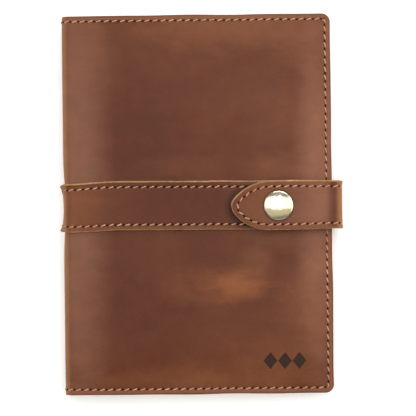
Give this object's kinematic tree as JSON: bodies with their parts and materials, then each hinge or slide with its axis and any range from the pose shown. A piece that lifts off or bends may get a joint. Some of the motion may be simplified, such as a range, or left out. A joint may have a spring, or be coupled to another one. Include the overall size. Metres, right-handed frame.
{
  "type": "leather notebook cover",
  "caption": "Stitched leather notebook cover with a folding spine, inside pockets holding a notebook, and a wrap-around belt strap whose pointed tab closes with a press stud.",
  "frame": {"origin": "centre of the bounding box's bottom face: midway between the strap's outermost faces along X and the cover's two ends along Y, on the plane the strap's back run lies on", "axes": "+X from the spine to the fore edge, +Y from foot to head, +Z from the back panel up to the front panel"},
  "size_m": [0.1638, 0.22, 0.0319],
  "materials": {
    "cover_leather": "satin",
    "strap_leather": "satin",
    "lining_leather": "matt",
    "thread": "matt",
    "brass": "polished",
    "spring_wire": "polished",
    "board": "matt",
    "pages": "matt",
    "binding": "matt"
  },
  "bodies": {
    "back": {"back_panel": "cover_leather", "back_pocket": "lining_leather", "back_thread": "thread", "back_board": "board", "page_block": "pages", "binding_cloth": "binding", "strap_back_outer": "strap_leather", "strap_back_lining": "lining_leather", "strap_back_thread": "thread"},
    "spine": {"spine_panel": "cover_leather", "spine_thread": "thread", "strap_spine_outer": "strap_leather", "strap_spine_lining": "lining_leather", "strap_spine_thread": "thread"},
    "front": {"front_panel": "cover_leather", "front_pocket": "lining_leather", "front_thread": "thread", "front_board": "board", "strap_front_outer": "strap_leather", "strap_front_lining": "lining_leather", "strap_front_thread": "thread", "snap_stud": "brass", "snap_eyelet": "brass"},
    "strap_side": {"strap_side_outer": "strap_leather", "strap_side_lining": "lining_leather", "strap_side_thread": "thread"},
    "strap_tab": {"strap_tab_outer": "strap_leather", "strap_tab_lining": "lining_leather", "strap_tab_thread": "thread", "snap_cap": "brass", "snap_post": "brass", "snap_socket": "brass", "snap_spring": "spring_wire"}
  },
  "joints": [
    {"name": "spine_fold", "type": "hinge", "parent": "back", "child": "spine", "pos_m": [-0.07988, 0, 0.00202], "axis": [0, -1, 0], "range_deg": [0, 88]},
    {"name": "cover_fold", "type": "hinge", "parent": "spine", "child": "front", "pos_m": [-0.07988, 0, 0.02078], "axis": [0, -1, 0], "range_deg": [0, 88]},
    {"name": "strap_side_fold", "type": "hinge", "parent": "back", "child": "strap_side", "pos_m": [0.08044, -0.001, 0.00146], "axis": [0, 1, 0], "range_deg": [0, 88]},
    {"name": "strap_tab_fold", "type": "hinge", "parent": "strap_side", "child": "strap_tab", "pos_m": [0.08044, -0.001, 0.02784], "axis": [0, 1, 0], "range_deg": [0, 88]}
  ]
}
